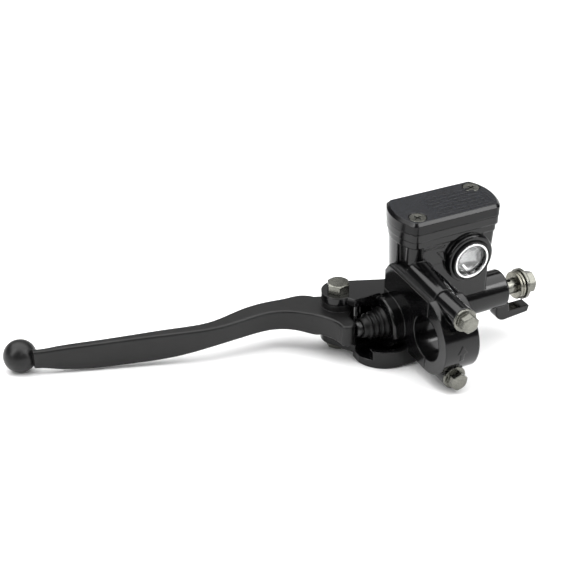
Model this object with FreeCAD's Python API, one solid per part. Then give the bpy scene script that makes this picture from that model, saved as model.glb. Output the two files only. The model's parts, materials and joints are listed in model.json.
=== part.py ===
import FreeCAD, Part
import math
import os

# Handlebar brake master cylinder with its lever, in millimetres.
# The origin is the centre of the handlebar clamp's bore. +X runs along the handlebar towards the
# banjo bolt, +Y points away from the rider and +Z points up. The lever reaches towards -X.

Vector = FreeCAD.Vector
AXIS_X = Vector(1, 0, 0)
AXIS_Y = Vector(0, 1, 0)
AXIS_Z = Vector(0, 0, 1)

# ---------------------------------------------------------------- driving dimensions
BAR_R = 11.1                 # 22.2 mm handlebar
CLAMP_HALF = 9.0             # half the clamp's length along the bar
CLAMP_R = 17.6               # outside of the clamp's ring
SPLIT_TOP = 0.15             # gap between body and cap above the bar, and the wider one below it
SPLIT_LOW = 0.3
BOLT_X = -0.4                # clamp bolts, one above the bar and one below it
UPPER_BOLT = 18.2
LOWER_BOLT = -16.6
CYLINDER_Y = 31.5            # axis of the hydraulic cylinder
CYLINDER_Z = -8.5
BORE_R = 6.35                # half-inch piston
HOUSING_R = 8.7
OUTLET_R = 9.7               # thicker boss at the outlet end, a little above the bore
OUTLET_RISE = 1.2
PIVOT_X = -30.2              # lever pivot
PIVOT_Y = 48.0
RESERVOIR_FRONT = 22.5       # rider's side of the reservoir rim
RESERVOIR_LENGTH = 45.6      # along X, between its corners
RESERVOIR_WIDTH = 28.2       # along Y
RESERVOIR_X = 19.3           # middle of the reservoir
RIM_BOTTOM = 37.1
RIM_TOP = 41.4
COVER_EDGE = 45.9            # where the cover's bevel starts
SLIP = 0.05                  # radial clearance of threads and of the piston in its bore

# ---------------------------------------------------------------- worked out from them
RESERVOIR_Y = RESERVOIR_FRONT + RESERVOIR_WIDTH / 2
END_BOW = 4.8                # how far each end of the reservoir bows out
WEB_TOP = 20.4               # flat top of the clamp body
WEB_BACK = 40.0
EAR_THICK = 4.2
EAR_GAP = 18.6               # between the two ears of the perch
EAR_R = 8.3
UPPER_EAR = CYLINDER_Z + EAR_GAP / 2
LOWER_EAR = CYLINDER_Z - EAR_GAP / 2 - EAR_THICK
MOUTH_X = -15.0              # open end of the cylinder
MOUTH_R = 13.0
BOSS_END = 53.4              # face that the brake line's fitting seals on
BORE_END = 43.0
FACE_Y = RESERVOIR_FRONT + 1.3       # front wall of the reservoir body, below the rim
GLASS_X = 27.0               # centre of the sight glass
GLASS_Z = 21.6
SCREWS = [(0.7, 29.0), (39.4, 43.7)]     # cover screws, at opposite corners
POCKET_FRONT = 15.5          # rider's side of the switch pocket under the lever
POCKET_TOP = CYLINDER_Z - 7.3
EAR_FRONT = 31.2             # front edge of the perch's lower ear
HUB_R = 8.0                  # lever's hub
NOSE_GAP = 0.3               # free play between lever and piston
NOSE_R = 4.2
PISTON_TAIL = -29.7
M6_R = 3.0
M4_R = 2.0


# ---------------------------------------------------------------- helpers
def cylinder(radius, start, end, axis, at):
    """A cylinder along an axis from one station to another, with its centre line through at."""
    base = Vector(*at) + axis * (start - Vector(*at).dot(axis))
    return Part.makeCylinder(radius, end - start, base, axis)


def bore_cylinder(radius, start, end):
    """A cylinder on the hydraulic axis."""
    return cylinder(radius, start, end, AXIS_X, (0, CYLINDER_Y, CYLINDER_Z))


def box(low, high):
    size = [b - a for a, b in zip(low, high)]
    return Part.makeBox(*size, Vector(*low))


def polygon_prism(points, direction):
    """A closed polygon pushed along a direction."""
    corners = [Vector(*p) for p in points]
    return Part.Face(Part.makePolygon(corners + corners[:1])).extrude(direction)


def hexagon(across_flats, start, end, axis, at, turn=0.0):
    """A hexagonal bar with its outer edge chamfered at the far end."""
    radius = across_flats / math.sqrt(3)
    side = AXIS_Z if axis != AXIS_Z else AXIS_X
    base = Vector(*at) + axis * (start - Vector(*at).dot(axis))
    spin = FreeCAD.Rotation(axis, turn)
    corners = []
    for k in range(6):
        step = FreeCAD.Rotation(axis, 60 * k)
        corners.append(base + spin.multVec(step.multVec(side * radius)))
    bar = Part.Face(Part.makePolygon(corners + corners[:1])).extrude(axis * (end - start))
    length = abs(end - start)
    way = axis * (1 if end > start else -1)
    cone = Part.makeCone(radius + length * 1.6, across_flats * 0.47, length, base, way)
    return bar.common(cone)


def join(first, *others):
    shape = first
    for other in others:
        shape = shape.fuse(other)
    return shape.removeSplitter()


def rounded(shape, radius, test):
    """Fillet the edges that a test picks, and leave the shape alone where the kernel can't."""
    picked = [e for e in shape.Edges if test(e)]
    if not picked:
        return shape
    try:
        done = shape.makeFillet(radius, picked)
    except Part.OCCError:
        return shape
    return done if done.isValid() else shape


def spans(edge, axis, length):
    """True when an edge runs along an axis for at least a length."""
    box_size = edge.BoundBox
    extent = {0: box_size.XLength, 1: box_size.YLength, 2: box_size.ZLength}
    others = [extent[k] for k in range(3) if k != axis]
    return extent[axis] >= length and max(others) < 0.12 * extent[axis]


def reservoir_wire(inset, z, draft=0.0):
    """The reservoir's outline: straight front and back, and ends that bow out."""
    half_x = RESERVOIR_LENGTH / 2 - inset - draft
    half_y = RESERVOIR_WIDTH / 2 - inset - draft
    front = RESERVOIR_Y - half_y
    back = RESERVOIR_Y + half_y
    left = RESERVOIR_X - half_x
    right = RESERVOIR_X + half_x
    corners = [Vector(left, front, z), Vector(right, front, z), Vector(right, back, z), Vector(left, back, z)]
    right_bow = Vector(right + END_BOW, RESERVOIR_Y, z)
    left_bow = Vector(left - END_BOW, RESERVOIR_Y, z)
    return Part.Wire([
        Part.LineSegment(corners[0], corners[1]).toShape(),
        Part.Arc(corners[1], right_bow, corners[2]).toShape(),
        Part.LineSegment(corners[2], corners[3]).toShape(),
        Part.Arc(corners[3], left_bow, corners[0]).toShape(),
    ])


def reservoir_block(inset, low, high, corner, low_draft=0.0):
    """A solid with the reservoir's outline, its upright corners rounded."""
    wires = [reservoir_wire(inset, low, low_draft), reservoir_wire(inset, high)]
    solid = Part.makeLoft(wires, True, True)
    return rounded(solid, corner, lambda e: spans(e, 2, (high - low) * 0.9))


# ---------------------------------------------------------------- the cast body
def clamp_web():
    """The clamp's fixed half and the web that carries it from the cylinder."""
    x = -CLAMP_HALF
    outline = [
        (x, 0, 0), (x, 0, -CLAMP_R), (x, 20, -CLAMP_R), (x, WEB_BACK, -19),
        (x, WEB_BACK, WEB_TOP - 5), (x, WEB_BACK - 3.5, WEB_TOP), (x, 0, WEB_TOP),
    ]
    web = polygon_prism(outline, AXIS_X * 2 * CLAMP_HALF)
    front_top = lambda e: e.BoundBox.YMin > -0.1 and e.BoundBox.ZMin > WEB_TOP - 0.1 and spans(e, 1, 20)
    web = rounded(web, 1.4, front_top)
    length = FACE_Y + 1.5
    upper = Part.makeCone(6.1, 7.6, length, Vector(BOLT_X, 0, UPPER_BOLT), Vector(1.1, length, 0))
    low = cylinder(6.0, 0, 13, AXIS_Y, (BOLT_X, 0, LOWER_BOLT))
    bead_r = 0.6
    edge = 1.4 - CLAMP_HALF
    beads = [cylinder(bead_r, 0.5, WEB_BACK - 6, AXIS_Y, (edge + k * 2.0, 0, WEB_TOP)) for k in range(2)]
    return join(web, upper, low, *beads)


def reservoir_body():
    """The tapered box under the rim, with the pedestal that joins it to the cylinder.

    The front screw's thread runs down a round column at the box's corner."""
    floor = 16.0
    band_bottom = RIM_BOTTOM - 3.8
    rim = reservoir_block(0.15, RIM_BOTTOM, RIM_TOP, 3.2)
    band = reservoir_block(0.9, band_bottom, RIM_BOTTOM, 2.8)
    lower = reservoir_block(1.3, floor, band_bottom, 2.6, 0.6)
    screw_x, screw_y = SCREWS[0]
    skin = lower.cut(reservoir_block(2.7, floor, band_bottom, 2.0, 0.6))
    lower = lower.cut(skin.common(box((-20, 0, floor), (screw_x + 1, screw_y + 4.6, band_bottom))))
    column = Part.makeCylinder(5.6, band_bottom - floor, Vector(screw_x + 0.7, screw_y + 0.6, floor))
    pedestal_back = CYLINDER_Y + 9.5
    front = FACE_Y + 0.35
    foot = CYLINDER_Z + 3.6
    right = RESERVOIR_X + RESERVOIR_LENGTH / 2 - 1.8
    pedestal = box((4, front, foot), (right, pedestal_back, floor + 6))
    pedestal = rounded(pedestal, 1.6, lambda e: spans(e, 2, 10))
    return join(rim, band, lower, column, pedestal)


def level_mark():
    """Raised line and pointer beside the sight glass that show the lowest fluid level."""
    front = FACE_Y - 0.35
    pointer = [(9.5, 28.5), (14.6, 22.6), (12.7, 28.5)]
    marks = [polygon_prism([(x, front, z) for x, z in pointer], AXIS_Y * 1.5)]
    marks.append(box((2.5, front, 31.0), (13.5, front + 1.5, 31.7)))
    return marks


def perch_ear(bottom, front, reach):
    """One flat ear of the perch, round about the pivot and widening into the body.

    Its front edge lies at front and runs out as far as reach before it turns to the pivot."""
    disc = Part.makeCylinder(EAR_R, EAR_THICK, Vector(PIVOT_X, PIVOT_Y, bottom))
    inner = 1.0
    arm = polygon_prism([
        (PIVOT_X - EAR_R + 0.6, PIVOT_Y - 2.8, bottom), (reach - 2.4, front + 3.4, bottom),
        (reach, front, bottom), (inner, front, bottom), (inner, PIVOT_Y - 3.5, bottom),
        (PIVOT_X + 5.2, PIVOT_Y + 6.5, bottom),
    ], AXIS_Z * EAR_THICK)
    return join(disc, arm)


def perch():
    """Both ears, the wall they grow from and the ribs beside the cylinder's mouth."""
    depth = EAR_GAP + 2 * EAR_THICK
    wall = box((-13, CYLINDER_Y + 4, LOWER_EAR), (-CLAMP_HALF + 1, PIVOT_Y - 3, LOWER_EAR + depth))
    left = PIVOT_X + HUB_R + 1.4
    inner = -CLAMP_HALF - 1
    back = polygon_prism([
        (left, PIVOT_Y - 4.5, LOWER_EAR), (left, PIVOT_Y + 4, LOWER_EAR), (inner, PIVOT_Y - 0.8, LOWER_EAR),
        (inner, WEB_BACK, LOWER_EAR), (MOUTH_X, WEB_BACK + 1, LOWER_EAR),
    ], AXIS_Z * depth)
    back = rounded(back, 1.0, lambda e: spans(e, 2, 20))
    mouth = bore_cylinder(MOUTH_R, MOUTH_X, -CLAMP_HALF + 1)
    mouth = rounded(mouth, 1.2, lambda e: e.BoundBox.XMax < MOUTH_X + 0.1)
    ribs = []
    for side in (-1, 1):
        reach = CYLINDER_Z + side * EAR_GAP / 2
        root = CYLINDER_Z + side * 5
        ribs.append(polygon_prism([
            (-13, PIVOT_Y - 11, reach), (-24, PIVOT_Y - 11, reach), (-13, PIVOT_Y - 11, root),
        ], AXIS_Y * 2.4))
    upper = perch_ear(UPPER_EAR, PIVOT_Y - 11.4, PIVOT_X + 3.0)
    lower = perch_ear(LOWER_EAR, EAR_FRONT, PIVOT_X + 1.0)
    return join(upper, lower, wall, back, mouth, *ribs)


def switch_pocket():
    """The tray under the lever that takes a brake light switch, open above and at the lever's end."""
    low = CYLINDER_Z - 16.5
    right = 5.0
    back = PIVOT_Y - 9
    front_left = Vector(-11, POCKET_FRONT, low)
    left = PIVOT_X + 0.9
    end = Vector(left, POCKET_FRONT + 11.5, low)
    corners = [end, Vector(left, PIVOT_Y - 15, low), Vector(-22, back, low), Vector(right, back, low),
               Vector(right, POCKET_FRONT, low), front_left]
    nose = Part.Arc(front_left, Vector(left + 5.4, POCKET_FRONT + 3.2, low), end).toShape()
    outline = Part.Wire([Part.makePolygon(corners), nose])
    tray = Part.Face(outline).extrude(AXIS_Z * (POCKET_TOP - low))
    tray = tray.cut(box((-60, EAR_FRONT, LOWER_EAR + 1), (right + 1, 60, 0)))
    hollow = Part.Face(outline.makeOffset2D(-2.6)).extrude(AXIS_Z * 20)
    hollow.translate(Vector(0, 0, 2.8))
    hollow = hollow.common(box((-60, 0, -40), (-CLAMP_HALF, EAR_FRONT, 0)))
    gate = box((-60, 0, CYLINDER_Z - 12.3), (left + 4.0, 60, 0))
    return tray.cut(hollow).cut(gate)


def fitting_stop():
    """The hooked lug under the outlet, which stops the brake line's fitting from turning."""
    y = CYLINDER_Y - 6.2
    width = 6.6
    low = CYLINDER_Z - 15.2
    root = CYLINDER_Z - 5
    heel = 5.6
    left = BOSS_END - 4.9
    tip = BOSS_END + 15.2
    slant = heel * (1 - math.sqrt(0.5))
    heel_start = Vector(left, y, low + heel)
    heel_end = Vector(left + heel, y, low)
    lip = low + 4.8
    around = [heel_end, Vector(tip - 1, y, low + 1.2), Vector(tip, y, lip), Vector(left + 8, y, lip),
              Vector(left + 7, y, root), Vector(left, y, root), heel_start]
    curve = Part.Arc(heel_start, Vector(left + slant, y, low + slant), heel_end).toShape()
    outline = Part.Wire(Part.makePolygon(around).Edges + [curve])
    lug = Part.Face(outline).extrude(AXIS_Y * width)
    return rounded(lug, 0.6, lambda e: e.BoundBox.YLength < 0.01 and e.BoundBox.ZMax < lip)


def master_cylinder_body():
    outlet = cylinder(OUTLET_R, 24, BOSS_END, AXIS_X, (0, CYLINDER_Y, CYLINDER_Z + OUTLET_RISE))
    outlet = rounded(outlet, 1.0, lambda e: e.BoundBox.XMin > BOSS_END - 0.1)
    housing = join(bore_cylinder(HOUSING_R, -CLAMP_HALF, 40), outlet)
    glass_boss = cylinder(12.5, FACE_Y - 3.0, FACE_Y + 2, AXIS_Y, (GLASS_X, 0, GLASS_Z + 0.6))
    glass_boss = rounded(glass_boss, 1.3, lambda e: e.BoundBox.YMax < FACE_Y - 2)
    body = join(clamp_web(), reservoir_body(), housing, perch(), fitting_stop(), switch_pocket(), glass_boss,
                *level_mark())

    # handlebar and clamp bolts
    body = body.cut(cylinder(BAR_R, -30, 30, AXIS_X, (0, 0, 0)))
    body = body.cut(cylinder(M6_R, -1, 21, AXIS_Y, (BOLT_X, 0, UPPER_BOLT)))
    body = body.cut(cylinder(M6_R, -1, 12.5, AXIS_Y, (BOLT_X, 0, LOWER_BOLT)))

    # hydraulic bore, outlet thread, and the stepped mouth that holds the stop washer and circlip
    body = body.cut(bore_cylinder(BORE_R, MOUTH_X - 1, BORE_END))
    body = body.cut(bore_cylinder(5.0, BORE_END - 1, BOSS_END + 1))
    body = body.cut(bore_cylinder(8.2, MOUTH_X - 1, MOUTH_X + 4.8))
    body = body.cut(bore_cylinder(9.0, MOUTH_X + 2.3, MOUTH_X + 3.5))

    # reservoir chamber, leaving posts for the cover screws, and its well with the two ports
    chamber = reservoir_block(4.2, 23.0, RIM_TOP + 1, 2.0)
    for x, y in SCREWS:
        chamber = chamber.cut(Part.makeCylinder(4.4, 30, Vector(x, y, 20)))
    body = body.cut(chamber)
    body = body.cut(box((7, FACE_Y + 3, 3), (37.5, CYLINDER_Y + 6.5, 24)))
    for x, radius in ((10.0, 1.5), (20.6, 0.4)):
        body = body.cut(Part.makeCylinder(radius, 12, Vector(x, CYLINDER_Y, CYLINDER_Z + 4)))
    for x, y in SCREWS:
        body = body.cut(Part.makeCylinder(M4_R, 14, Vector(x, y, RIM_TOP - 13)))

    # stepped seat for the sight glass, then the pivot's holes
    body = body.cut(cylinder(10.35, FACE_Y - 3, FACE_Y + 0.6, AXIS_Y, (GLASS_X, 0, GLASS_Z)))
    body = body.cut(cylinder(DISC_R + SLIP, FACE_Y, FACE_Y + 4, AXIS_Y, (GLASS_X, 0, GLASS_Z)))
    body = body.cut(Part.makeCylinder(M6_R + 0.02, 60, Vector(PIVOT_X, PIVOT_Y, -40)))
    return body.removeSplitter()


# ---------------------------------------------------------------- clamp cap and its bolts
SEATS = {"upper": (UPPER_BOLT, -16.8), "lower": (LOWER_BOLT, -12.3)}


def clamp_cap():
    """The removable half of the clamp, a band with a round boss for each bolt."""
    x = -CLAMP_HALF
    turn = math.radians(40)
    shoulder = Vector(x, -CLAMP_R * math.cos(turn), CLAMP_R * math.sin(turn))
    outline = Part.Wire([
        Part.Arc(Vector(x, 0, WEB_TOP), Vector(x, -8.6, 17.0), shoulder).toShape(),
        Part.Arc(shoulder, Vector(x, -CLAMP_R, 0), Vector(x, 0, -CLAMP_R)).toShape(),
        Part.LineSegment(Vector(x, 0, -CLAMP_R), Vector(x, 0, WEB_TOP)).toShape(),
    ])
    band = Part.Face(outline).extrude(AXIS_X * 2 * CLAMP_HALF)
    band = rounded(band, 0.9, lambda e: e.BoundBox.XLength < 0.01 and e.BoundBox.YMin < -5)
    cap = band
    for height, seat in SEATS.values():
        boss = cylinder(5.7, seat, 0, AXIS_Y, (BOLT_X, 0, height))
        boss = rounded(boss, 0.7, lambda e, seat=seat: e.BoundBox.YMax < seat + 0.1)
        cap = join(cap, boss)
    arrow = [(-2.6, -0.5), (0, 3.6), (2.6, -0.5), (0.9, -0.5), (0.9, -4.6), (-0.9, -4.6), (-0.9, -0.5)]
    mark = polygon_prism([(ax, -CLAMP_R - 1, az) for ax, az in arrow], AXIS_Y * 3)
    cap = join(cap, mark.common(cylinder(CLAMP_R + 0.3, -9, 9, AXIS_X, (0, 0, 0))))
    far = 30
    gap = polygon_prism([
        (-far, 1, far), (-far, 1, -far), (-far, -SPLIT_LOW, -far), (-far, -SPLIT_LOW, -BAR_R),
        (-far, -SPLIT_TOP, BAR_R), (-far, -SPLIT_TOP, far),
    ], AXIS_X * 2 * far)
    cap = cap.cut(gap).cut(cylinder(BAR_R, -30, 30, AXIS_X, (0, 0, 0)))
    for height, seat in SEATS.values():
        cap = cap.cut(cylinder(M6_R + 0.3, -40, 2, AXIS_Y, (BOLT_X, 0, height)))
        cap = cap.cut(cylinder(6.2, -40, seat, AXIS_Y, (BOLT_X, 0, height)))
    return cap.removeSplitter()


def flange_bolt(seat, height, tip):
    at = (BOLT_X, 0, height)
    shank = cylinder(M6_R - SLIP, seat - 0.5, tip, AXIS_Y, at)
    flange = cylinder(5.8, seat - 1.3, seat, AXIS_Y, at)
    flange = rounded(flange, 0.4, lambda e: e.BoundBox.YMax < seat - 1)
    head = hexagon(8.0, seat - 1.2, seat - 5.6, AXIS_Y, at, 12)
    return join(shank, flange, head)


def clamp_bolts():
    tips = {"upper": 19.0, "lower": 11.0}
    return [flange_bolt(seat, height, tips[name]) for name, (height, seat) in SEATS.items()]


# ---------------------------------------------------------------- reservoir cover and what it seals
def reservoir_cover():
    bevel = 1.5
    skirt = reservoir_block(0.0, RIM_TOP + 0.15, COVER_EDGE + bevel, 3.2)
    top_edges = [e for e in skirt.Edges if e.BoundBox.ZMin > COVER_EDGE + bevel - 0.01]
    cover = skirt.makeChamfer(bevel, top_edges)
    recess = reservoir_block(2.9, RIM_TOP, RIM_TOP + 2.4, 2.0)
    cover = cover.cut(recess).fuse(cover_ribs(COVER_EDGE + bevel))
    for x, y in SCREWS:
        cover = cover.cut(Part.makeCylinder(M4_R + 0.25, 20, Vector(x, y, RIM_TOP - 5)))
        cover = cover.cut(Part.makeCone(M4_R, 4.6, 2.55, Vector(x, y, COVER_EDGE + bevel - 2.5)))
    return cover.removeSplitter()


def cover_ribs(top):
    """Rows of fine raised dashes and a thin border that take the place of lettering."""
    high = 0.2
    deep = 0.3
    rows = 6
    pitch = 2.9
    dash = 1.1
    line = 0.5
    left = RESERVOIR_X - 8.3
    right = RESERVOIR_X + 19.7
    first = RESERVOIR_Y - 8.6
    ribs = []
    for row in range(rows):
        y = first + pitch * row
        x = left + 1.4 * ((row * 2) % 3)
        step = row
        while x < right - 1.5:
            length = 2.6 + 1.3 * (step % 4)
            ribs.append(box((x, y, top - deep), (min(x + length, right), y + dash, top + high)))
            x += length + 1.0
            step += 3
    edge = right + 2.2
    ribs.append(box((edge, first - 0.8, top - deep), (edge + line, first + 11.6, top + high)))
    ribs.append(box((left, first - 2.0, top - deep), (edge + line, first - 2.0 + line, top + high)))
    return ribs


def cover_screws():
    """Two countersunk screws with crossed recesses."""
    top = COVER_EDGE + 1.5 - 0.15
    screws = []
    for x, y in SCREWS:
        head = Part.makeCone(M4_R - 0.3, 4.15, 2.2, Vector(x, y, top - 2.2))
        shank = Part.makeCylinder(M4_R - SLIP, top - RIM_TOP + 11, Vector(x, y, RIM_TOP - 12))
        screw = join(head, shank)
        for turn in (20, 110):
            slot = Part.makeBox(4.4, 0.9, 1.6, Vector(-2.2, -0.45, 0))
            slot.Placement = FreeCAD.Placement(Vector(x, y, top - 1.3), FreeCAD.Rotation(AXIS_Z, turn))
            screw = screw.cut(slot)
        screws.append(screw)
    return screws


def clear_of_screws(shape, radius):
    for x, y in SCREWS:
        shape = shape.cut(Part.makeCylinder(radius, 30, Vector(x, y, 20)))
    return shape


def diaphragm():
    """Rubber seal under the cover, with a pleated pan that dips into the fluid."""
    flange = clear_of_screws(reservoir_block(3.1, RIM_TOP, RIM_TOP + 1.0, 2.0), M4_R + 0.4)
    low = (8.0, RESERVOIR_Y - 8.0)
    high = (30.5, RESERVOIR_Y + 8.0)
    shell = box((low[0], low[1], RIM_TOP - 8), (high[0], high[1], RIM_TOP + 0.2))
    shell = rounded(shell, 3.0, lambda e: spans(e, 2, 7))
    wall = 1.0
    hollow = box((low[0] + wall, low[1] + wall, RIM_TOP - 7), (high[0] - wall, high[1] - wall, RIM_TOP + 2))
    hollow = rounded(hollow, 2.0, lambda e: spans(e, 2, 7))
    return join(flange, shell).cut(hollow)


def diaphragm_plate():
    """Stiff plate that spreads the cover's load on to the rubber."""
    plate = reservoir_block(3.2, RIM_TOP + 1.05, RIM_TOP + 2.3, 2.0)
    plate = clear_of_screws(plate, M4_R + 0.4)
    vent = box((14, RESERVOIR_Y - 5, RIM_TOP), (25, RESERVOIR_Y + 5, RIM_TOP + 3))
    return plate.cut(rounded(vent, 2.0, lambda e: spans(e, 2, 2)))


def port_baffle():
    """Bent strip over the ports that stops fluid from spouting up."""
    y = CYLINDER_Y
    strip = box((8, y - 3.5, 5.2), (23, y + 3.5, 5.8))
    legs = [box((x, y - 3.5, 3), (x + 0.6, y + 3.5, 5.5)) for x in (8, 22.4)]
    return join(strip, *legs)


# ---------------------------------------------------------------- sight glass
def glass_ring(outer, inner, front, back):
    ring = cylinder(outer, front, back, AXIS_Y, (GLASS_X, 0, GLASS_Z))
    return ring.cut(cylinder(inner, front - 1, back + 1, AXIS_Y, (GLASS_X, 0, GLASS_Z)))


GLASS_FRONT = FACE_Y - 4.2
DISC_R = 6.5


def sight_glass_bezel():
    bezel = glass_ring(10.3, 9.35, GLASS_FRONT, FACE_Y + 0.5)
    return rounded(bezel, 0.3, lambda e: e.BoundBox.YMax < GLASS_FRONT + 0.01)


def sight_glass_ring():
    ring = glass_ring(9.3, 8.1, GLASS_FRONT + 0.1, GLASS_FRONT + 1.6)
    return rounded(ring, 0.4, lambda e: e.BoundBox.YMax < GLASS_FRONT + 0.11)


def sight_glass_lens():
    """Clear lens with a flange behind the ring and a shallow dome in front."""
    centre = (GLASS_X, 0, GLASS_Z)
    wide = cylinder(9.3, GLASS_FRONT + 1.65, FACE_Y + 0.5, AXIS_Y, centre)
    dome_r = 14.0
    dome = Part.makeSphere(dome_r, Vector(GLASS_X, GLASS_FRONT + 0.3 + dome_r, GLASS_Z))
    stem = cylinder(7.0, GLASS_FRONT, GLASS_FRONT + 3.0, AXIS_Y, centre).common(dome)
    return join(wide, stem)


def sight_glass_reflector():
    """Dished disc behind the lens that shows the fluid's level."""
    disc = cylinder(DISC_R, FACE_Y + 0.55, FACE_Y + 3.6, AXIS_Y, (GLASS_X, 0, GLASS_Z))
    bowl_r = 9.5
    bowl = Part.makeSphere(bowl_r, Vector(GLASS_X, FACE_Y + 2.6 - bowl_r, GLASS_Z))
    return disc.cut(bowl)


# ---------------------------------------------------------------- lever and pivot
LEVER_TOP = CYLINDER_Z + 5.5
LEVER_STATIONS = [
    # x, front edge, back edge of the flat top, underside
    (-176.0, 72.4, 75.4, -12.4),
    (-166.0, 70.1, 73.1, -14.4),
    (-150.0, 66.7, 70.2, -16.8),
    (-132.0, 62.8, 66.8, -17.3),
    (-110.0, 57.6, 62.8, -16.3),
    (-92.0, 54.2, 60.4, -13.6),
    (-76.0, 54.9, 63.6, -13.5),
    (-62.0, 54.7, 64.5, -13.8),
    (-50.0, 48.5, 63.2, -14.3),
    (-38.0, 42.0, 58.6, -14.3),
]
BALL = (-180.6, 80.6)
BALL_R = 7.9
HUB_HALF = EAR_GAP / 2 - 0.25


def lever_section(x, front, back, bottom):
    """A slab across the lever, flat towards the rider and above, and swelling out behind."""
    height = LEVER_TOP - bottom
    edge = 1.1
    slant = edge * (1 - math.sqrt(0.5))
    swell = 0.28 * height
    middle = (LEVER_TOP + bottom) / 2

    def at(y, z):
        return Vector(x, y, z)

    return Part.Wire([
        Part.LineSegment(at(front, bottom + edge), at(front, LEVER_TOP - edge)).toShape(),
        Part.Arc(at(front, LEVER_TOP - edge), at(front + slant, LEVER_TOP - slant),
                 at(front + edge, LEVER_TOP)).toShape(),
        Part.LineSegment(at(front + edge, LEVER_TOP), at(back, LEVER_TOP)).toShape(),
        Part.Arc(at(back, LEVER_TOP), at(back + swell, middle), at(back, bottom)).toShape(),
        Part.LineSegment(at(back, bottom), at(front + edge, bottom)).toShape(),
        Part.Arc(at(front + edge, bottom), at(front + slant, bottom + slant),
                 at(front, bottom + edge)).toShape(),
    ])


def lever():
    blade = Part.makeLoft([lever_section(*s) for s in LEVER_STATIONS], True, False)
    ball = Part.makeSphere(BALL_R, Vector(BALL[0], BALL[1], CYLINDER_Z))
    hub = Part.makeCylinder(HUB_R, 2 * HUB_HALF, Vector(PIVOT_X, PIVOT_Y, CYLINDER_Z - HUB_HALF))
    nose_x = PISTON_TAIL - NOSE_GAP - NOSE_R
    low = CYLINDER_Z - 5.8
    height = LEVER_TOP - low
    contact = nose_x + NOSE_R
    front = Part.BSplineCurve()
    front.interpolate([Vector(-50, 48.5, low), Vector(-45.2, 44.2, low), Vector(-41.2, 39.6, low),
                       Vector(-38.6, 34.8, low), Vector(nose_x - 3.4, CYLINDER_Y - 2.5, low)])
    tip = Part.Arc(front.EndPoint, Vector(nose_x + 0.6, CYLINDER_Y - NOSE_R, low),
                   Vector(contact, CYLINDER_Y, low))
    rest = Part.makePolygon([
        Vector(contact, CYLINDER_Y, low), Vector(contact, CYLINDER_Y + 4.8, low),
        Vector(PIVOT_X + 5, PIVOT_Y - 5.6, low), Vector(PIVOT_X + 2, PIVOT_Y + 7, low),
        Vector(-38, 58.6, low), Vector(-50, 63.2, low), front.StartPoint,
    ])
    outline = Part.Wire([front.toShape(), tip.toShape()] + rest.Edges)
    knuckle = Part.Face(outline).extrude(AXIS_Z * height)
    knuckle = rounded(knuckle, 1.0, lambda e: e.BoundBox.ZLength < 0.01 and e.BoundBox.YMax < 49)
    body = join(blade, ball, knuckle, hub)
    return body.cut(Part.makeCylinder(5.0, 60, Vector(PIVOT_X, PIVOT_Y, -40)))


def pivot_bush():
    """Plain sleeve pressed into the lever's hub, which turns on the bolt."""
    outer = Part.makeCylinder(5.0, 2 * HUB_HALF, Vector(PIVOT_X, PIVOT_Y, CYLINDER_Z - HUB_HALF))
    return outer.cut(Part.makeCylinder(M6_R + SLIP, 60, Vector(PIVOT_X, PIVOT_Y, -40)))


def pivot_bolt():
    seat = UPPER_EAR + EAR_THICK
    at = (PIVOT_X, PIVOT_Y, 0)
    head = hexagon(10.0, seat, seat + 4.6, AXIS_Z, at, 8)
    shank = cylinder(M6_R, LOWER_EAR - 5.4, seat + 1, AXIS_Z, at)
    shank = rounded(shank, 0.6, lambda e: e.BoundBox.ZMax < LOWER_EAR - 5)
    return join(head, shank)


def pivot_nut():
    at = (PIVOT_X, PIVOT_Y, 0)
    nut = hexagon(10.0, LOWER_EAR, LOWER_EAR - 4.6, AXIS_Z, at, 20)
    return nut.cut(cylinder(M6_R + SLIP, -60, 0, AXIS_Z, at))


# ---------------------------------------------------------------- inside the cylinder
def piston():
    """Piston with a long tail for the lever, two lands and a groove for each cup."""
    lands = [
        (4.0, PISTON_TAIL, -9.9), (BORE_R - SLIP, -10.0, -7.0), (4.1, -7.1, -3.9),
        (BORE_R - SLIP, -4.0, -2.0), (4.6, -2.1, 12.5), (BORE_R - SLIP, 12.4, 15.0), (2.5, 14.9, 18.5),
    ]
    rod = join(*[bore_cylinder(r, a, b) for r, a, b in lands])
    rod = rounded(rod, 1.8, lambda e: e.BoundBox.XMax < PISTON_TAIL + 0.01)
    neck = bore_cylinder(6, -26.6, -25.0).cut(bore_cylinder(3.3, -27, -24))
    return rod.cut(neck)


def cup(start, length, core):
    """Lipped rubber seal, its lip facing the pressure."""
    outer = BORE_R - 0.02
    ring = bore_cylinder(outer, start, start + length)
    ring = ring.cut(bore_cylinder(core + SLIP, start - 1, start + length + 1))
    base = Vector(start + length * 0.45, CYLINDER_Y, CYLINDER_Z)
    return ring.cut(Part.makeCone(core + 0.6, outer - 0.6, length * 0.6, base, AXIS_X))


def primary_cup():
    return cup(15.1, 4.2, 2.5)


def secondary_cup():
    return cup(-6.9, 2.8, 4.1)


SPRING_START = 20.8
SPRING_END = BORE_END


def spring_seat():
    """Small cap that keeps the spring off the primary cup."""
    disc = bore_cylinder(5.0, 19.4, 20.2)
    nub = bore_cylinder(2.6, 20.1, 22.5)
    return join(disc, nub)


def return_spring():
    """Compression spring between the piston's seat and the bottom of the bore."""
    wire_r = 0.6
    coil_r = 3.9
    turns = 6.5
    pitch = (SPRING_END - SPRING_START - 2 * wire_r) / turns
    path = Part.makeHelix(pitch, pitch * turns, coil_r)
    profile = Part.Wire(Part.makeCircle(wire_r, Vector(coil_r, 0, 0), AXIS_Y))
    coil = Part.Wire(path).makePipeShell([profile], True, True)
    spin = FreeCAD.Rotation(AXIS_Z, AXIS_X)
    coil.Placement = FreeCAD.Placement(Vector(SPRING_START + wire_r, CYLINDER_Y, CYLINDER_Z), spin)
    return coil


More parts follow.
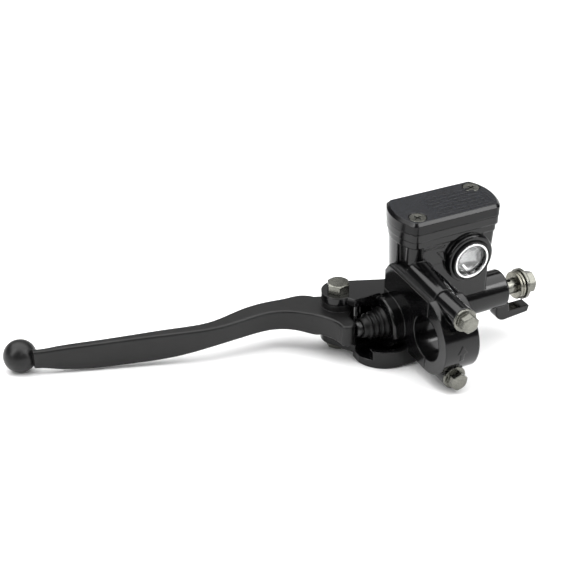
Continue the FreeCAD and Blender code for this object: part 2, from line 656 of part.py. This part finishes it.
def stop_washer():
    return bore_cylinder(8.1, -11.3, -10.25).cut(bore_cylinder(4.3, -12, -9))


def circlip():
    """Internal circlip with a gap and two eyes for pliers."""
    start = -12.5
    ring = bore_cylinder(8.9, start, start + 1.0).cut(bore_cylinder(7.3, start - 1, start + 2))
    half_gap = 1.6
    ring = ring.cut(box((start - 1, CYLINDER_Y - half_gap, CYLINDER_Z - 12),
                        (start + 2, CYLINDER_Y + half_gap, CYLINDER_Z)))
    for side in (-1, 1):
        centre = (0, CYLINDER_Y + side * 2.6, CYLINDER_Z - 6.9)
        eye = cylinder(1.25, start, start + 1.0, AXIS_X, centre)
        ring = ring.fuse(eye).cut(cylinder(0.5, start - 1, start + 2, AXIS_X, centre))
    return ring.removeSplitter()


def dust_boot():
    """Bellows between the cylinder's mouth and the groove in the piston's tail."""
    start = MOUTH_X + 2.2
    end = -26.4
    folds = 3
    outer = [Vector(start, 0, 8.0), Vector(MOUTH_X - 0.8, 0, 8.0)]
    step = (end + 2.2 - (MOUTH_X - 0.8)) / folds
    for k in range(folds):
        x = MOUTH_X - 0.8 + step * k
        outer.append(Vector(x + step * 0.5, 0, 7.4 - 0.5 * k))
        outer.append(Vector(x + step, 0, 5.9 - 0.35 * k))
    outer.append(Vector(end, 0, 4.9))
    inner = [Vector(p.x, 0, p.z - 1.1) for p in reversed(outer[1:-2])]
    ring = outer + [Vector(end, 0, 3.4), Vector(end + 1.2, 0, 3.4), Vector(end + 1.3, 0, 4.15)] + inner
    ring.append(Vector(start, 0, 6.9))
    face = Part.Face(Part.makePolygon(ring + ring[:1]))
    boot = face.revolve(Vector(0, 0, 0), AXIS_X, 360)
    boot.translate(Vector(0, CYLINDER_Y, CYLINDER_Z))
    return boot


# ---------------------------------------------------------------- outlet
FLANGE_X = 65.4


def banjo_bolt():
    """Hollow bolt for the brake line's fitting, wound out far enough to slip the fitting on."""
    thread = bore_cylinder(5.0 - SLIP, 46.5, BOSS_END + 0.6)
    waist = bore_cylinder(3.9, BOSS_END, FLANGE_X)
    flange = bore_cylinder(8.0, FLANGE_X, FLANGE_X + 1.9)
    flange = rounded(flange, 0.5, lambda e: e.BoundBox.XMin > FLANGE_X + 1)
    head = hexagon(10.0, FLANGE_X + 1.8, FLANGE_X + 7.2, AXIS_X, (0, CYLINDER_Y, CYLINDER_Z), 8)
    bolt = join(thread, waist, flange, head)
    bolt = bolt.cut(bore_cylinder(1.8, 45, 61))
    return bolt.cut(cylinder(1.2, CYLINDER_Z - 9, CYLINDER_Z + 9, AXIS_Z, (58.4, CYLINDER_Y, 0)))


def banjo_washers():
    washers = []
    thick = 1.5
    for start, radius in ((FLANGE_X - 3.4, 7.2), (FLANGE_X - 1.7, 7.2)):
        washer = bore_cylinder(radius, start, start + thick).cut(bore_cylinder(4.0, start - 1, start + 3))
        washers.append(rounded(washer, 0.3, lambda e: e.BoundBox.ZLength > 13))
    return washers


# ---------------------------------------------------------------- write every node
NODES = {
    "master_cylinder_body": master_cylinder_body, "clamp_cap": clamp_cap, "clamp_bolts": clamp_bolts,
    "reservoir_cover": reservoir_cover, "cover_screws": cover_screws, "diaphragm": diaphragm,
    "diaphragm_plate": diaphragm_plate, "port_baffle": port_baffle,
    "sight_glass_bezel": sight_glass_bezel, "sight_glass_ring": sight_glass_ring,
    "sight_glass_lens": sight_glass_lens, "sight_glass_reflector": sight_glass_reflector,
    "lever": lever, "pivot_bush": pivot_bush, "pivot_bolt": pivot_bolt, "pivot_nut": pivot_nut,
    "piston": piston, "primary_cup": primary_cup, "secondary_cup": secondary_cup,
    "spring_seat": spring_seat, "return_spring": return_spring, "stop_washer": stop_washer,
    "circlip": circlip, "dust_boot": dust_boot, "banjo_bolt": banjo_bolt, "banjo_washers": banjo_washers,
}


def main():
    os.makedirs("parts", exist_ok=True)
    for name, make in NODES.items():
        shape = make()
        if isinstance(shape, list):
            shape = Part.Compound(shape)
        shape.exportStep(f"parts/{name}.step")
        print(f"{name}: {len(shape.Solids)} solids, valid {shape.isValid()}, volume {shape.Volume:.1f}")


main()
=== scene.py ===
import json
import math

import bmesh
import bpy
from mathutils import Matrix, Vector


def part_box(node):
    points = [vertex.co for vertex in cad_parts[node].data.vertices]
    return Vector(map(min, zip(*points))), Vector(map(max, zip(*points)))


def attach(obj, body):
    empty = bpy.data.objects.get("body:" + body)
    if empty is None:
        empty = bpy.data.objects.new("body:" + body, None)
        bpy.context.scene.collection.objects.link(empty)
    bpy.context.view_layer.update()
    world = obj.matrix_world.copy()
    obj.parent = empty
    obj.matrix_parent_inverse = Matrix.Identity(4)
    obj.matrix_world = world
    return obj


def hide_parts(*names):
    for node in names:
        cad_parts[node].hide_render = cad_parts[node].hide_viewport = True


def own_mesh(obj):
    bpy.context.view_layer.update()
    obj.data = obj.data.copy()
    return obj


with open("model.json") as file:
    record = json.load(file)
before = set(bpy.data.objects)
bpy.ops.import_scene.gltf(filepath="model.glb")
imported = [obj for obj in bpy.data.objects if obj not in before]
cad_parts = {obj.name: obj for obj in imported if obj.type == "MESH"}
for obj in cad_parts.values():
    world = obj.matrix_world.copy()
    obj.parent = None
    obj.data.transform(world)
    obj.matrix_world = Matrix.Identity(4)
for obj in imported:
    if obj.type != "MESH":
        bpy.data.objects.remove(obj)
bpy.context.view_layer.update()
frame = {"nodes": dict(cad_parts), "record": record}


# ---------------------------------------------------------------- node helpers
BEVEL_SAMPLES = 6


class Shader:
    """A material's node tree, with short ways to add and join nodes."""

    def __init__(self, material):
        material.use_nodes = True
        self.tree = material.node_tree
        self.tree.nodes.clear()
        out = self.tree.nodes.new("ShaderNodeOutputMaterial")
        self.main = self.tree.nodes.new("ShaderNodeBsdfPrincipled")
        self.tree.links.new(self.main.outputs["BSDF"], out.inputs["Surface"])
        self.space = self.tree.nodes.new("ShaderNodeTexCoord").outputs["Object"]

    def node(self, kind, **settings):
        """A new node, with each setting put on the socket of that name or on the node itself."""
        made = self.tree.nodes.new(kind)
        for name, value in settings.items():
            if name in made.inputs:
                made.inputs[name].default_value = value
            else:
                setattr(made, name, value)
        return made

    def link(self, source, target):
        self.tree.links.new(source, target)

    def set(self, **values):
        """Constant values on the main shader's own sockets."""
        for name, value in values.items():
            self.main.inputs[name.replace("_", " ")].default_value = value

    def stretched(self, factors):
        """Object space scaled per axis, for grain that runs one way."""
        scale = self.node("ShaderNodeVectorMath", operation="MULTIPLY")
        scale.inputs[1].default_value = factors
        self.link(self.space, scale.inputs[0])
        return scale.outputs[0]

    def noise(self, scale, detail=3.0, roughness=0.55, space=None):
        made = self.node("ShaderNodeTexNoise", Scale=scale, Detail=detail, Roughness=roughness)
        self.link(space or self.space, made.inputs["Vector"])
        return made.outputs["Fac"]

    def ramp(self, value, low=0.3, high=0.7, at_low=0.0, at_high=1.0):
        """Maps low to high, the stretch most noise keeps to, onto at_low to at_high."""
        made = self.node("ShaderNodeMapRange")
        made.inputs["From Min"].default_value = low
        made.inputs["From Max"].default_value = high
        made.inputs["To Min"].default_value = at_low
        made.inputs["To Max"].default_value = at_high
        self.link(value, made.inputs["Value"])
        return made.outputs["Result"]

    def mix(self, factor, first, second):
        made = self.node("ShaderNodeMix", data_type="RGBA")
        made.inputs["A"].default_value = (*first, 1)
        made.inputs["B"].default_value = (*second, 1)
        self.link(factor, made.inputs["Factor"])
        return made.outputs["Result"]

    def rounded_edges(self, radius):
        """Softens the look of the CAD's sharp edges without changing its mesh."""
        made = self.node("ShaderNodeBevel", samples=BEVEL_SAMPLES)
        made.inputs["Radius"].default_value = radius
        return made.outputs["Normal"]

    def bump(self, height, strength, distance, normal=None):
        made = self.node("ShaderNodeBump", Strength=strength, Distance=distance)
        self.link(height, made.inputs["Height"])
        if normal is not None:
            self.link(normal, made.inputs["Normal"])
        return made.outputs["Normal"]

    def finish(self, colour, roughness=None, normal=None):
        """Joins what was worked out to the main shader."""
        self.link(colour, self.main.inputs["Base Color"])
        if roughness is not None:
            self.link(roughness, self.main.inputs["Roughness"])
        if normal is not None:
            self.link(normal, self.main.inputs["Normal"])


def new_shader(name):
    material = bpy.data.materials.new(name)
    return material, Shader(material)


def grey(low, high):
    """Two neutral colours, for a material that varies between them."""
    return (low, low, low), (high, high, high)


# ---------------------------------------------------------------- materials
def gloss_black():
    """Gloss black paint over a die casting."""
    material, s = new_shader("gloss_black")
    cloud = s.noise(scale=45.0)
    s.set(Specular_IOR_Level=0.34)
    colour = s.mix(s.ramp(cloud), (0.0014, 0.0014, 0.0016), (0.0026, 0.0026, 0.0028))
    rough = s.ramp(cloud, low=0.25, high=0.75, at_low=0.10, at_high=0.16)
    skin = s.noise(scale=900.0, detail=2.0)
    normal = s.bump(skin, strength=0.04, distance=0.0001, normal=s.rounded_edges(0.0009))
    s.finish(colour, rough, normal)
    return material


def satin_charcoal():
    """The lever's satin dark grey paint."""
    material, s = new_shader("satin_charcoal")
    cloud = s.noise(scale=60.0, detail=4.0)
    s.set(Specular_IOR_Level=0.28)
    colour = s.mix(s.ramp(cloud), *grey(0.0055, 0.0085))
    rough = s.ramp(s.noise(scale=400.0), low=0.2, high=0.8, at_low=0.30, at_high=0.38)
    skin = s.noise(scale=2600.0, detail=2.0)
    normal = s.bump(skin, strength=0.08, distance=0.0001, normal=s.rounded_edges(0.0008))
    s.finish(colour, rough, normal)
    return material


def textured_cover():
    """Gloss black at the sides, with a fine blue-black wrinkle over the flat top."""
    material, s = new_shader("textured_cover")
    grain = s.noise(scale=1100.0, detail=4.0, roughness=0.7)
    split = s.node("ShaderNodeSeparateXYZ")
    s.link(s.node("ShaderNodeTexCoord").outputs["Normal"], split.inputs[0])
    top = s.ramp(split.outputs["Z"], low=0.90, high=0.97)
    speck = s.node("ShaderNodeMath", operation="MULTIPLY")
    s.link(s.ramp(grain, low=0.45, high=0.70), speck.inputs[0])
    s.link(top, speck.inputs[1])
    s.set(Specular_IOR_Level=0.24)
    colour = s.mix(speck.outputs[0], (0.0018, 0.0018, 0.0022), (0.014, 0.017, 0.025))
    rough = s.ramp(top, low=0.0, high=1.0, at_low=0.18, at_high=0.36)
    normal = s.bump(speck.outputs[0], strength=0.45, distance=0.0002, normal=s.rounded_edges(0.0006))
    s.finish(colour, rough, normal)
    return material


def plated_steel(name, dark, light, rough_low, rough_high):
    """Bare or plated metal with a slight drawn grain."""
    material, s = new_shader(name)
    finer_in_z = s.stretched((1.0, 1.0, 5.0))
    grain = s.noise(scale=500.0, detail=4.0, roughness=0.6, space=finer_in_z)
    s.set(Metallic=1.0)
    colour = s.mix(s.ramp(s.noise(scale=90.0)), dark, light)
    rough = s.ramp(grain, at_low=rough_low, at_high=rough_high)
    normal = s.bump(grain, strength=0.05, distance=0.0001, normal=s.rounded_edges(0.0005))
    s.finish(colour, rough, normal)
    return material


def plain_polymer(name, dark, light, rough_low, rough_high):
    """Rubber or moulded plastic with a fine grain."""
    material, s = new_shader(name)
    grain = s.noise(scale=900.0, detail=4.0)
    s.set(Specular_IOR_Level=0.22)
    colour = s.mix(s.ramp(s.noise(scale=120.0)), dark, light)
    rough = s.ramp(grain, at_low=rough_low, at_high=rough_high)
    normal = s.bump(grain, strength=0.2, distance=0.00015, normal=s.rounded_edges(0.0005))
    s.finish(colour, rough, normal)
    return material


def clear_lens():
    """Clear acrylic with a faint haze."""
    material, s = new_shader("clear_lens")
    haze = s.noise(scale=220.0)
    s.set(IOR=1.49, Transmission_Weight=1.0)
    colour = s.mix(haze, (0.93, 0.95, 0.95), (0.99, 0.99, 0.99))
    rough = s.ramp(haze, low=0.3, high=0.8, at_low=0.0, at_high=0.04)
    s.finish(colour, rough, s.bump(haze, strength=0.03, distance=0.0002))
    return material


def zinc_steel():
    """The faintly yellow plate on the bolts, the nut and the screws."""
    return plated_steel("zinc_steel", (0.10, 0.10, 0.088), (0.20, 0.20, 0.178), 0.22, 0.34)


def plain_steel():
    """The bare steel of the spring and the other inner parts."""
    return plated_steel("plain_steel", *grey(0.45, 0.60), 0.20, 0.35)


def crush_washer():
    """The banjo bolt's washers, a little yellower and lighter than the bolt."""
    return plated_steel("crush_washer", (0.13, 0.127, 0.105), (0.26, 0.255, 0.22), 0.22, 0.34)


def ring_bright():
    """The polished ring round the sight glass."""
    return plated_steel("ring_bright", *grey(0.74, 0.86), 0.14, 0.24)


def reflector():
    """Dished bright disc behind the lens."""
    return plated_steel("reflector", *grey(0.30, 0.42), 0.16, 0.26)


def piston_metal():
    """Dark anodised aluminium."""
    return plated_steel("piston_metal", *grey(0.03, 0.05), 0.28, 0.42)


def bush_brass():
    """The sleeve in the lever's hub."""
    return plated_steel("bush_brass", (0.55, 0.40, 0.18), (0.68, 0.52, 0.26), 0.25, 0.40)


def bezel_black():
    """The glossy moulding that holds the sight glass."""
    return plain_polymer("bezel_black", *grey(0.003, 0.006), 0.18, 0.28)


def rubber_black():
    """The dust boot, the cups and the diaphragm."""
    return plain_polymer("rubber_black", *grey(0.0015, 0.004), 0.36, 0.50)


def plate_plastic():
    """The moulded plate over the diaphragm."""
    return plain_polymer("plate_plastic", *grey(0.03, 0.05), 0.40, 0.55)


MATERIALS = {
    "body_paint": gloss_black, "lever_paint": satin_charcoal, "cover_paint": textured_cover,
    "zinc_steel": zinc_steel, "plain_steel": plain_steel, "crush_washer": crush_washer,
    "bezel_black": bezel_black, "ring_bright": ring_bright, "clear_lens": clear_lens,
    "reflector": reflector, "piston_metal": piston_metal, "rubber_black": rubber_black,
    "plate_plastic": plate_plastic, "bush_brass": bush_brass,
}


def dress_frame():
    """Gives every carried-over CAD node the material of its slot."""
    made = {slot: make() for slot, make in MATERIALS.items()}
    for part in frame["record"]["subparts"]:
        mesh = frame["nodes"][part["node"]].data
        mesh.materials.clear()
        mesh.materials.append(made[part["material_slot"]])
    return made


BOOT_WALL = 0.0011
BOOT_FOLDS = 3
FOLD_STEPS = 10               # rings of points in each fold
BOOT_GRIPPED = 0.0022         # length held in the cylinder's mouth
BOOT_SHOULDER = 0.0008        # straight length outside it, before the first fold
BOOT_CUFF = 0.0022            # length past the last fold, on the piston
CUFF_R = 0.0049               # outside of that cuff
LIP_R = 0.0034                # the lip inside it, and where the lip widens to the wall
LIP_ROOT_R = 0.0041
LIP_LENGTH = 0.0012
LIP_SLOPE = 0.0001
CREST_INSET = 0.0006          # folds' crests and troughs, in from the boot's own radius
TROUGH_INSET = 0.0021
CREST_TAPER = 0.0012          # how much further in each is at the piston's end
TROUGH_TAPER = 0.0007
BOOT_AROUND = 96              # points round the boot

WIRE_R = 0.0006
SPRING_TURNS = 6.5
POINTS_PER_TURN = 40
WIRE_AROUND = 14              # points round the wire


def box_of(node):
    """The low corner, the high corner and the middle of a CAD node's box."""
    low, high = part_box(node)
    low, high = Vector(low), Vector(high)
    return low, high, (low + high) / 2


def around(count):
    """Evenly spaced angles round a circle."""
    return [2 * math.pi * k / count for k in range(count)]


def tube_mesh(name, rings, closed):
    """A mesh through rings of points, joined end to start when closed and capped when not."""
    per_ring = len(rings[0])
    points = [point for ring in rings for point in ring]
    faces = []
    for k in range(len(rings) if closed else len(rings) - 1):
        this = k * per_ring
        after = ((k + 1) % len(rings)) * per_ring
        for j in range(per_ring):
            side = (j + 1) % per_ring
            faces.append((this + j, this + side, after + side, after + j))
    if not closed:
        faces.append(tuple(reversed(range(per_ring))))
        faces.append(tuple(range((len(rings) - 1) * per_ring, len(rings) * per_ring)))
    mesh = bpy.data.meshes.new(name)
    mesh.from_pydata(points, [], faces)
    bm = bmesh.new()
    bm.from_mesh(mesh)
    bmesh.ops.recalc_face_normals(bm, faces=bm.faces)
    bm.to_mesh(mesh)
    bm.free()
    mesh.polygons.foreach_set("use_smooth", [True] * len(mesh.polygons))
    return mesh


def squashing_piece(name, node, slot, mesh, made):
    """Stands for a CAD node: a piece fixed to the body, with the node itself hidden."""
    piece = bpy.data.objects.new(name, mesh)
    bpy.context.collection.objects.link(piece)
    mesh.materials.append(made[slot])
    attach(piece, "body")
    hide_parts(node)
    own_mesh(piece)


def folded_outline(start, end, radius):
    """Points along the boot's folds, each an x and a radius, tapering towards the piston."""
    outline = []
    count = BOOT_FOLDS * FOLD_STEPS
    for k in range(1, count + 1):
        along = k / count
        wave = 0.5 - 0.5 * math.cos(2 * math.pi * BOOT_FOLDS * along)
        trough = radius - TROUGH_INSET - TROUGH_TAPER * along
        crest = radius - CREST_INSET - CREST_TAPER * along
        outline.append((start + (end - start) * along, trough + (crest - trough) * wave))
    return outline


def bellows(made):
    """The dust boot: a plain cuff in the cylinder's mouth, three tapering folds and a cuff on the piston."""
    low, high, middle = box_of("dust_boot")
    radius = (high.y - low.y) / 2
    mouth = high.x - BOOT_GRIPPED
    start = mouth - BOOT_SHOULDER
    folds = folded_outline(start, low.x + BOOT_CUFF, radius)
    outer = [(high.x, radius), (start, radius), *folds, (low.x, CUFF_R)]
    inner = [(x, r - BOOT_WALL) for x, r in reversed(outer[1:-1])]
    lip_end = low.x + LIP_LENGTH
    lip = [(low.x, LIP_R), (lip_end, LIP_R), (lip_end + LIP_SLOPE, LIP_ROOT_R)]
    profile = outer + lip + inner + [(high.x, radius - BOOT_WALL)]
    turn = around(BOOT_AROUND)
    rings = []
    for x, r in profile:
        rings.append([(x, middle.y + r * math.cos(t), middle.z + r * math.sin(t)) for t in turn])
    mesh = tube_mesh("bellows", rings, True)
    squashing_piece("bellows", "dust_boot", "rubber_black", mesh, made)


def coil(made):
    """The return spring, wound about the cylinder's axis."""
    low, high, middle = box_of("return_spring")
    radius = (high.y - low.y) / 2 - WIRE_R
    length = high.x - low.x - 2 * WIRE_R
    count = int(SPRING_TURNS * POINTS_PER_TURN)
    rings = []
    for k in range(count + 1):
        angle = 2 * math.pi * SPRING_TURNS * k / count
        x = low.x + WIRE_R + length * k / count
        out = Vector((0, math.cos(angle), math.sin(angle)))
        centre = Vector((x, middle.y, middle.z)) + out * radius
        ring = []
        for t in around(WIRE_AROUND):
            ring.append(centre + out * WIRE_R * math.cos(t) + Vector((WIRE_R * math.sin(t), 0, 0)))
        rings.append(ring)
    mesh = tube_mesh("coil", rings, False)
    squashing_piece("coil", "return_spring", "plain_steel", mesh, made)


# ---------------------------------------------------------------- stage
FLOOR_UP = Vector((0.0991, 0.1149, 0.9884)).normalized()    # square to the floor
FLOOR_DROP = 0.02493          # from the middle of the clamp's bore to the floor, along FLOOR_UP
FLOOR_REACH = 14.0            # from the middle of the sheet to its sides
GLOW_START = 0.6              # how far from its middle the sheet begins to glow, as the lamps fall off
GLOW_FULL = 2.2               # and where it glows fully
LAMP_AIM = (-0.05, 0.03, 0.0)       # between the clamp and the middle of the lever


def floor():
    """A pale sheet that the ball end, the switch pocket and the pivot nut rest on."""
    bm = bmesh.new()
    for x, y in ((-1, -1), (1, -1), (1, 1), (-1, 1)):
        bm.verts.new((x * FLOOR_REACH, y * FLOOR_REACH, 0))
    bm.faces.new(bm.verts)
    mesh = bpy.data.meshes.new("floor")
    bm.to_mesh(mesh)
    bm.free()
    sheet = bpy.data.objects.new("floor", mesh)
    bpy.context.collection.objects.link(sheet)
    turn = Vector((0, 0, 1)).rotation_difference(FLOOR_UP)
    sheet.matrix_world = Matrix.Translation(FLOOR_UP * -FLOOR_DROP) @ turn.to_matrix().to_4x4()
    mesh.materials.append(pale_floor())


def pale_floor():
    """Near-white paper, kept bright where the lamps no longer reach."""
    material, s = new_shader("pale_floor")
    s.set(Roughness=0.6, Emission_Color=(1, 1, 1, 1))
    away = s.node("ShaderNodeVectorMath", operation="LENGTH")
    s.link(s.space, away.inputs[0])
    glow = s.ramp(away.outputs["Value"], low=GLOW_START, high=GLOW_FULL)
    s.link(glow, s.main.inputs["Emission Strength"])
    s.finish(s.mix(s.noise(scale=40.0, detail=2.0), *grey(0.90, 0.92)))
    return material


def area_light(name, place, size, power):
    data = bpy.data.lights.new(name, "AREA")
    data.shape = "RECTANGLE"
    data.size = size[0]
    data.size_y = size[1]
    data.energy = power
    lamp = bpy.data.objects.new(name, data)
    bpy.context.collection.objects.link(lamp)
    lamp.location = place
    lamp.rotation_euler = (Vector(LAMP_AIM) - Vector(place)).to_track_quat("-Z", "Y").to_euler()


def lighting():
    """A large soft box overhead, with weaker ones at the sides, in front and behind."""
    area_light("top_box", place=(0.05, 0.20, 1.0), size=(2.4, 1.3), power=34.0)
    area_light("left_box", place=(-0.95, -0.05, 0.8), size=(0.30, 0.9), power=6.0)
    area_light("right_box", place=(0.9, -0.9, 0.7), size=(0.20, 0.9), power=5.5)
    area_light("front_strip", place=(0.35, -0.75, 1.0), size=(1.2, 0.12), power=3.0)
    area_light("back_strip", place=(0.30, 1.15, 0.62), size=(1.6, 0.35), power=1.3)


def studio_walls():
    """Dim overhead and pale low down, so that no dark edge shows beyond the floor."""
    world = bpy.data.worlds.new("studio")
    bpy.context.scene.world = world
    world.use_nodes = True
    tree = world.node_tree
    back = tree.nodes["Background"]
    back.inputs["Color"].default_value = (1, 1, 1, 1)
    way = tree.nodes.new("ShaderNodeSeparateXYZ")
    tree.links.new(tree.nodes.new("ShaderNodeTexCoord").outputs["Generated"], way.inputs[0])
    fade = tree.nodes.new("ShaderNodeMapRange")
    fade.inputs["From Min"].default_value = 0.02
    fade.inputs["From Max"].default_value = 0.14
    fade.inputs["To Min"].default_value = 1.0
    fade.inputs["To Max"].default_value = 0.10
    tree.links.new(way.outputs["Z"], fade.inputs["Value"])
    tree.links.new(fade.outputs["Result"], back.inputs["Strength"])


# ---------------------------------------------------------------- camera
CAMERA_AZIMUTH = math.radians(-25.8)
CAMERA_HEIGHT = math.radians(32.8)
CAMERA_DISTANCE = 0.585
CAMERA_RIGHT = 0.0705         # how far the clamp's bore lies right of the picture's middle
CAMERA_DOWN = 0.0194          # and below it
LENS = 77.05


def camera():
    """Looks from the rider's side, from the left and above."""
    a, e = CAMERA_AZIMUTH, CAMERA_HEIGHT
    right = Vector((math.cos(a), math.sin(a), 0))
    back = Vector((math.sin(a) * math.cos(e), -math.cos(a) * math.cos(e), math.sin(e)))
    up = back.cross(right)
    data = bpy.data.cameras.new("camera")
    data.lens = LENS
    data.sensor_width = 36.0
    data.clip_start = 0.01
    data.clip_end = 20.0
    eye = bpy.data.objects.new("camera", data)
    bpy.context.collection.objects.link(eye)
    place = back * CAMERA_DISTANCE - right * CAMERA_RIGHT + up * CAMERA_DOWN
    turn = Matrix((right, up, back)).transposed().to_4x4()
    eye.matrix_world = Matrix.Translation(place) @ turn
    bpy.context.scene.camera = eye


# ---------------------------------------------------------------- put it together
made_materials = dress_frame()
bellows(made_materials)
coil(made_materials)
floor()
lighting()
studio_walls()
camera()
bpy.context.scene.view_settings.view_transform = "Standard"
